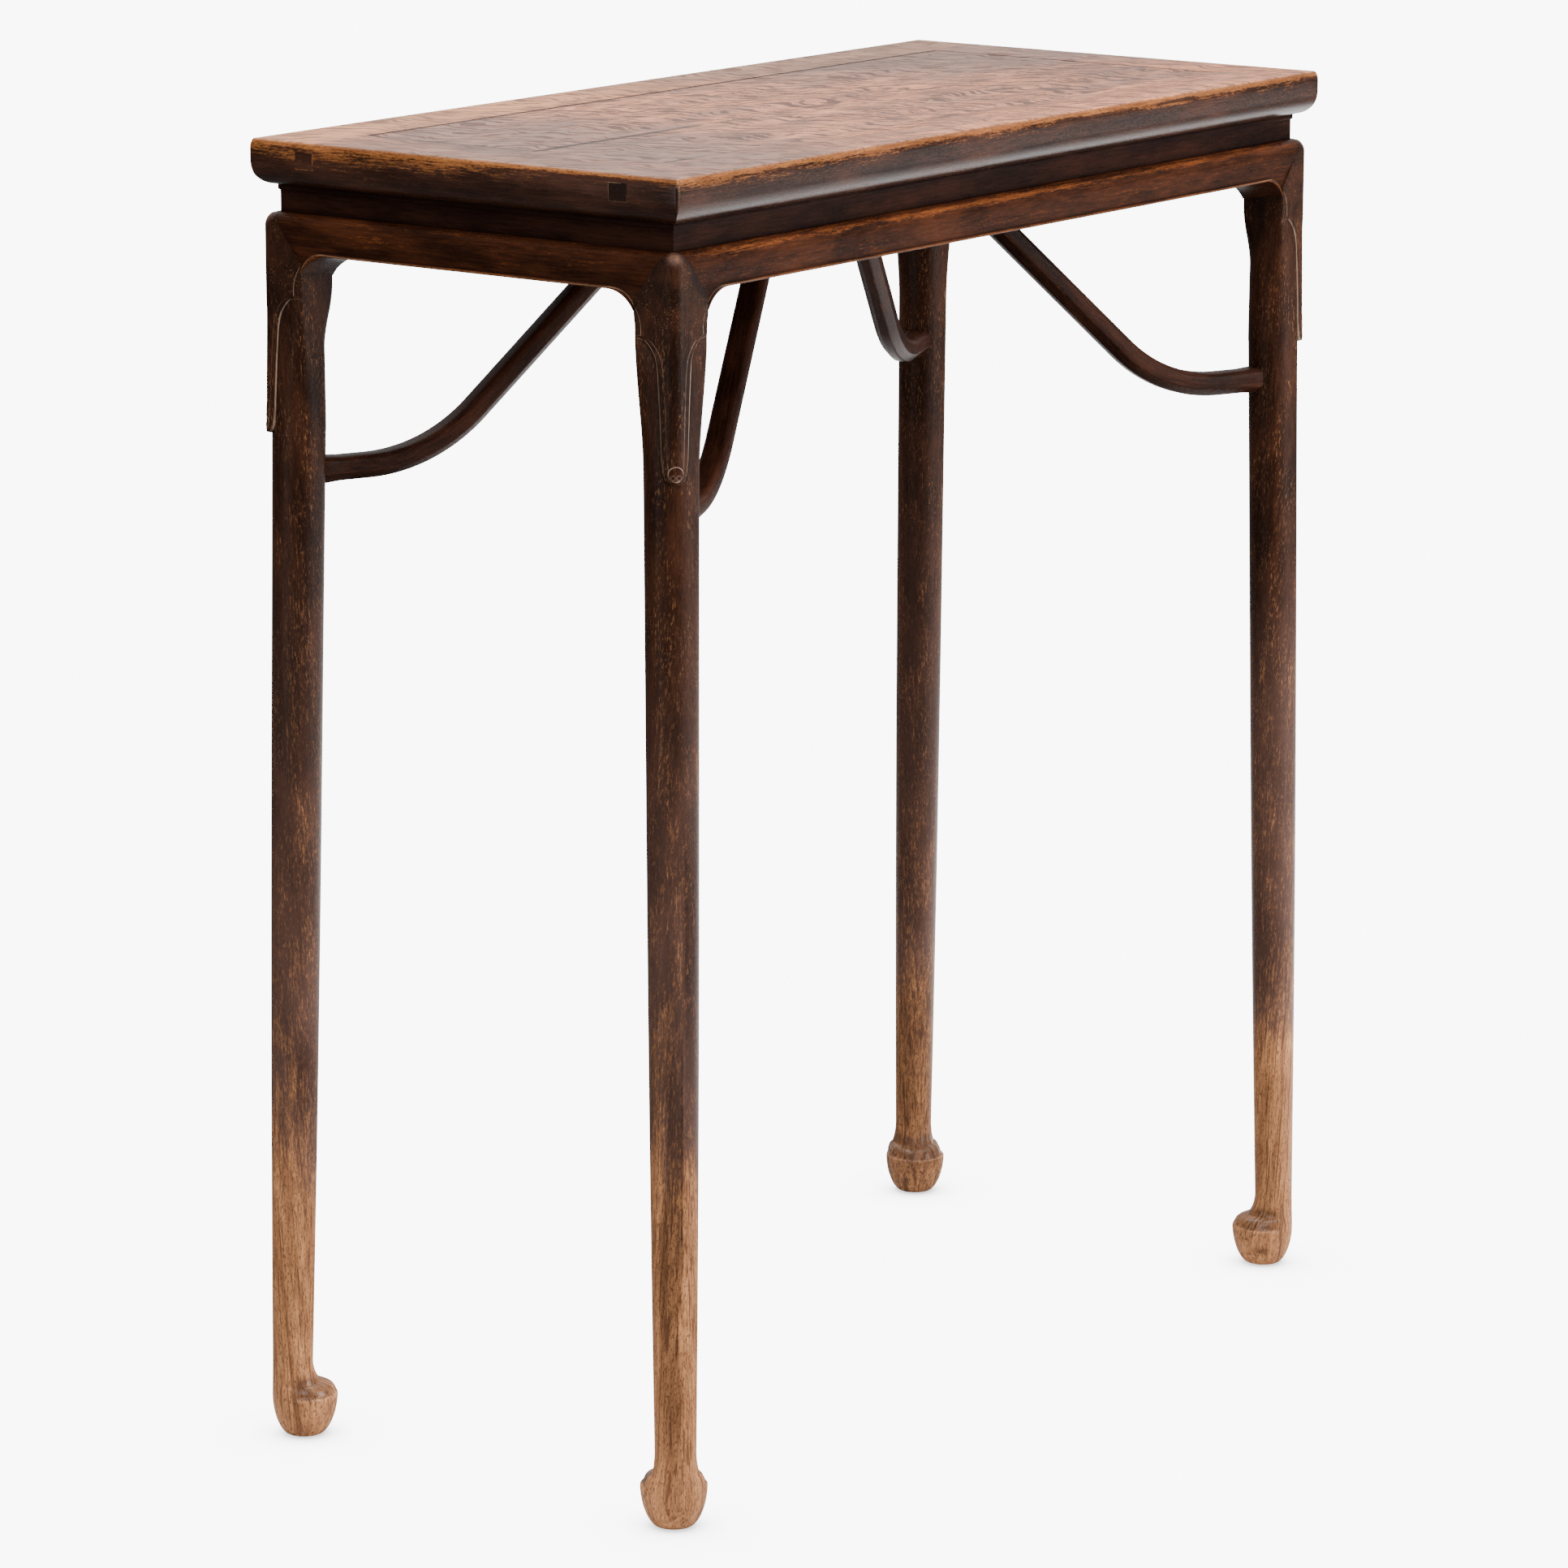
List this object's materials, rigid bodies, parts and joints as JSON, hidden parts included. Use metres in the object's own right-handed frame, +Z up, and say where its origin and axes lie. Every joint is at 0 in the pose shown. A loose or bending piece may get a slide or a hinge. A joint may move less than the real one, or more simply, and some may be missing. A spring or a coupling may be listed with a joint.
{
  "type": "offering table",
  "caption": "Tall narrow wooden offering table with a mitred panel top, recessed waist, mitred aprons, curved braces and round legs on inward hoof feet",
  "frame": {"origin": "on the floor under the middle of the top", "axes": "X along the long side, -Y towards the front long side, +Z up"},
  "size_m": [0.7638, 0.3558, 0.88],
  "materials": {
    "top_frame": "worn satin stain",
    "panel": "worn satin stain",
    "batten": "plain sawn wood",
    "waist": "dark lacquer",
    "apron": "worn dark lacquer",
    "leg": "dark lacquer worn to bare wood",
    "brace": "dark lacquer",
    "joint_wood": "plain split wood"
  },
  "bodies": {
    "root": {"top_rail_front": "top_frame", "top_rail_back": "top_frame", "top_rail_left": "top_frame", "top_rail_right": "top_frame", "panel_board_front": "panel", "panel_board_back": "panel", "batten_left": "batten", "batten_right": "batten", "waist_front": "waist", "waist_back": "waist", "waist_left": "waist", "waist_right": "waist", "apron_front": "apron", "apron_back": "apron", "apron_left": "apron", "apron_right": "apron", "leg_front_left": "leg", "leg_front_right": "leg", "leg_back_left": "leg", "leg_back_right": "leg", "brace_front_left": "brace", "brace_front_right": "brace", "brace_back_left": "brace", "brace_back_right": "brace", "brace_wedge_front_left": "joint_wood", "brace_wedge_front_right": "joint_wood", "brace_wedge_back_left": "joint_wood", "brace_wedge_back_right": "joint_wood", "brace_pin_front_left": "joint_wood", "brace_pin_front_right": "joint_wood", "brace_pin_back_left": "joint_wood", "brace_pin_back_right": "joint_wood"}
  },
  "joints": []
}
